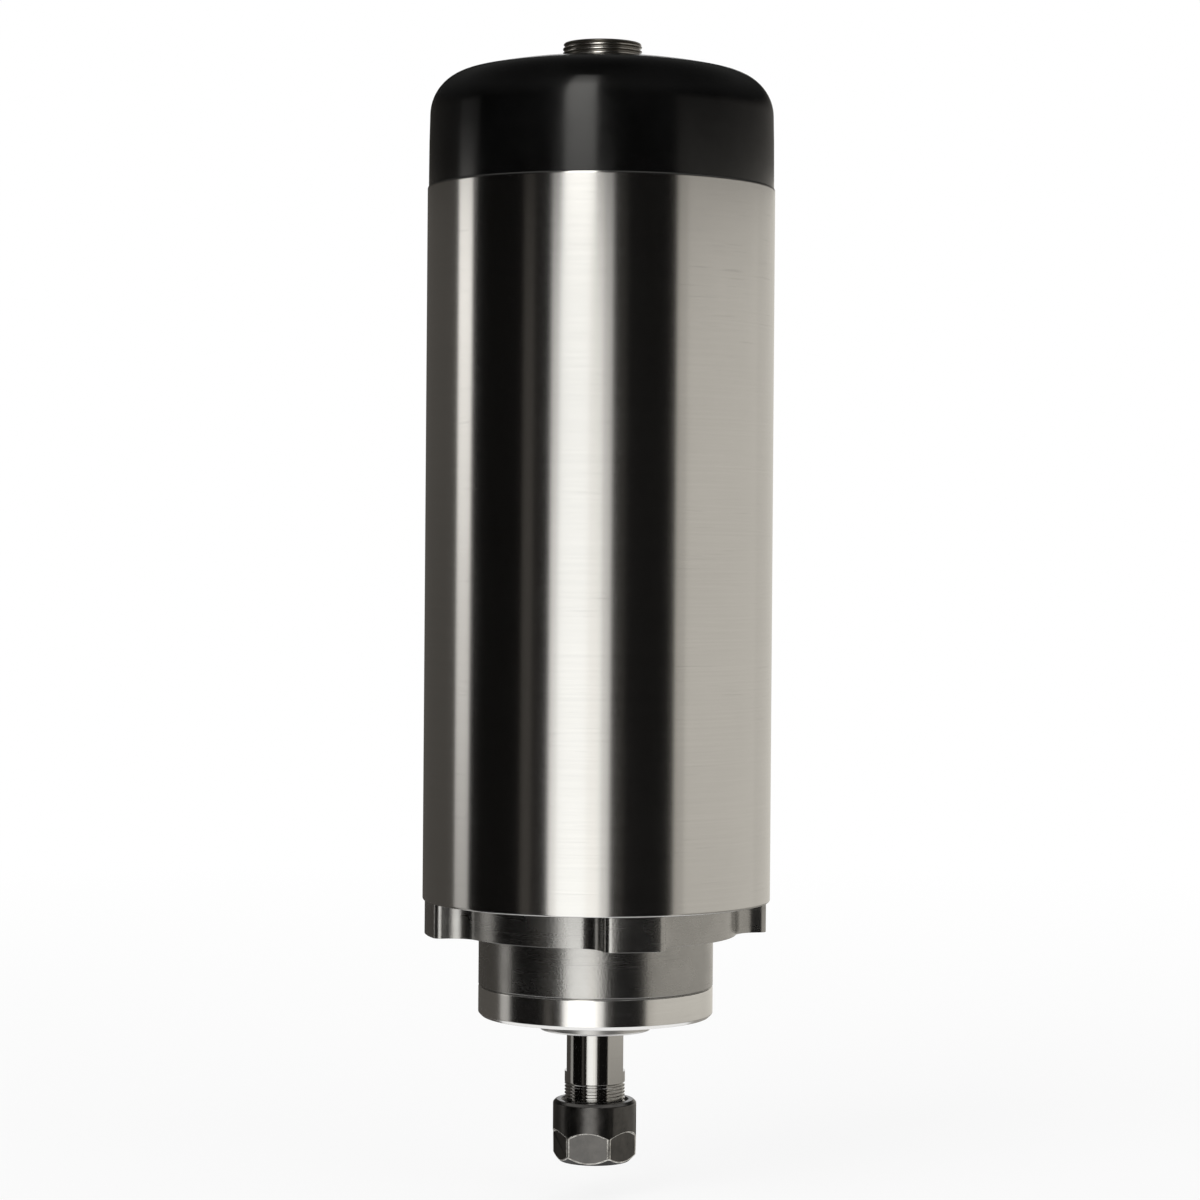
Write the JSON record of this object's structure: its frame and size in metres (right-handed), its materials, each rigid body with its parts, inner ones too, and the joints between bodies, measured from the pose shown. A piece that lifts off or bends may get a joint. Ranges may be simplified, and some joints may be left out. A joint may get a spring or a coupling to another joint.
{
  "type": "motor spindle",
  "caption": "Air-cooled motor spindle: round clamped body, domed fan cover, lobed flange with air pockets, bearing nose, shaft and spring collet with its nut",
  "frame": {"origin": "on the spindle axis, at the lower end of the round clamped body, where the lobed flange starts", "axes": "+Z runs along the spindle axis from the collet to the connector; the air pockets of the flange face +X, -X, +Y and -Y"},
  "size_m": [0.08, 0.08, 0.2572],
  "materials": {
    "black_cover": "black, satin gloss",
    "black_oxide": "black oxide with worn light edges",
    "bound_winding": "taped and varnished winding",
    "bright_steel": "polished bearing steel",
    "brushed_tube": "fine circumferential brushing, clear satin",
    "contact_brass": "plated brass contacts",
    "copper_coils": "enamelled copper wire",
    "dark_connector": "dark plated metal",
    "fan_plastic": "black moulded polyamide",
    "ground_steel": "ground steel",
    "insulation": "black insulating plastic",
    "laminations": "stacked electrical steel",
    "lead_sleeve": "braided sleeve over four wires",
    "polyamide": "moulded cage polyamide",
    "raw_casting": "as cast and machined",
    "soft_rubber": "black rubber",
    "turned_housing": "turned and milled, satin",
    "zinc_steel": "zinc plated steel"
  },
  "bodies": {
    "motor_body": {"outer_sleeve": "brushed_tube", "front_housing": "turned_housing", "front_bearing_cap": "turned_housing", "bearing_cap_screws": "black_oxide", "core_housing": "raw_casting", "tie_rods": "black_oxide", "rear_housing": "raw_casting", "preload_spring": "ground_steel", "rear_bearing_cover": "raw_casting", "rear_cover_screws": "zinc_steel", "fan_cover": "black_cover", "front_lower_outer_ring": "bright_steel", "front_upper_outer_ring": "bright_steel", "rear_outer_ring": "bright_steel", "stator_core": "laminations", "slot_coils": "copper_coils", "winding_head_front": "bound_winding", "winding_head_rear": "bound_winding", "connector_shell": "dark_connector", "connector_washer": "zinc_steel", "connector_locknut": "zinc_steel", "connector_insert": "insulation", "connector_pins": "contact_brass", "connector_boot": "soft_rubber", "lead_harness": "lead_sleeve", "lead_grommet": "soft_rubber"},
    "rotor": {"shaft": "ground_steel", "slinger_nut": "ground_steel", "front_lower_inner_ring": "bright_steel", "front_upper_inner_ring": "bright_steel", "rear_inner_ring": "bright_steel", "rotor_core": "laminations", "rotor_cage": "raw_casting", "fan": "fan_plastic", "fan_key": "ground_steel", "fan_washer": "zinc_steel", "fan_nut": "zinc_steel"},
    "front_lower_ball_set": {"front_lower_balls": "bright_steel", "front_lower_cage": "polyamide"},
    "front_upper_ball_set": {"front_upper_balls": "bright_steel", "front_upper_cage": "polyamide"},
    "rear_ball_set": {"rear_balls": "bright_steel", "rear_cage": "polyamide"},
    "collet": {"collet": "ground_steel"},
    "collet_nut": {"collet_nut": "black_oxide"}
  },
  "joints": [
    {"name": "shaft_spin", "type": "hinge", "parent": "motor_body", "child": "rotor", "pos_m": [0, 0, 0], "axis": [0, 0, 1], "continuous": true},
    {"name": "front_lower_cage_orbit", "type": "hinge", "parent": "motor_body", "child": "front_lower_ball_set", "pos_m": [0, 0, 0], "axis": [0, 0, 1], "continuous": true},
    {"name": "front_upper_cage_orbit", "type": "hinge", "parent": "motor_body", "child": "front_upper_ball_set", "pos_m": [0, 0, 0], "axis": [0, 0, 1], "continuous": true},
    {"name": "rear_cage_orbit", "type": "hinge", "parent": "motor_body", "child": "rear_ball_set", "pos_m": [0, 0, 0], "axis": [0, 0, 1], "continuous": true},
    {"name": "collet_draw", "type": "slide", "parent": "rotor", "child": "collet", "axis": [0, 0, -1], "range_m": [0, 0.0075]},
    {"name": "nut_turn", "type": "hinge", "parent": "collet", "child": "collet_nut", "pos_m": [0, 0, 0], "axis": [0, 0, -1], "range_deg": [0, 3600]}
  ],
  "couplings": [
    {"joint": "front_lower_cage_orbit", "follows": "shaft_spin", "ratio": 0.40385},
    {"joint": "front_upper_cage_orbit", "follows": "shaft_spin", "ratio": 0.40385},
    {"joint": "rear_cage_orbit", "follows": "shaft_spin", "ratio": 0.40426},
    {"joint": "collet_draw", "follows": "nut_turn", "m_per_rad": 0.00011937}
  ]
}
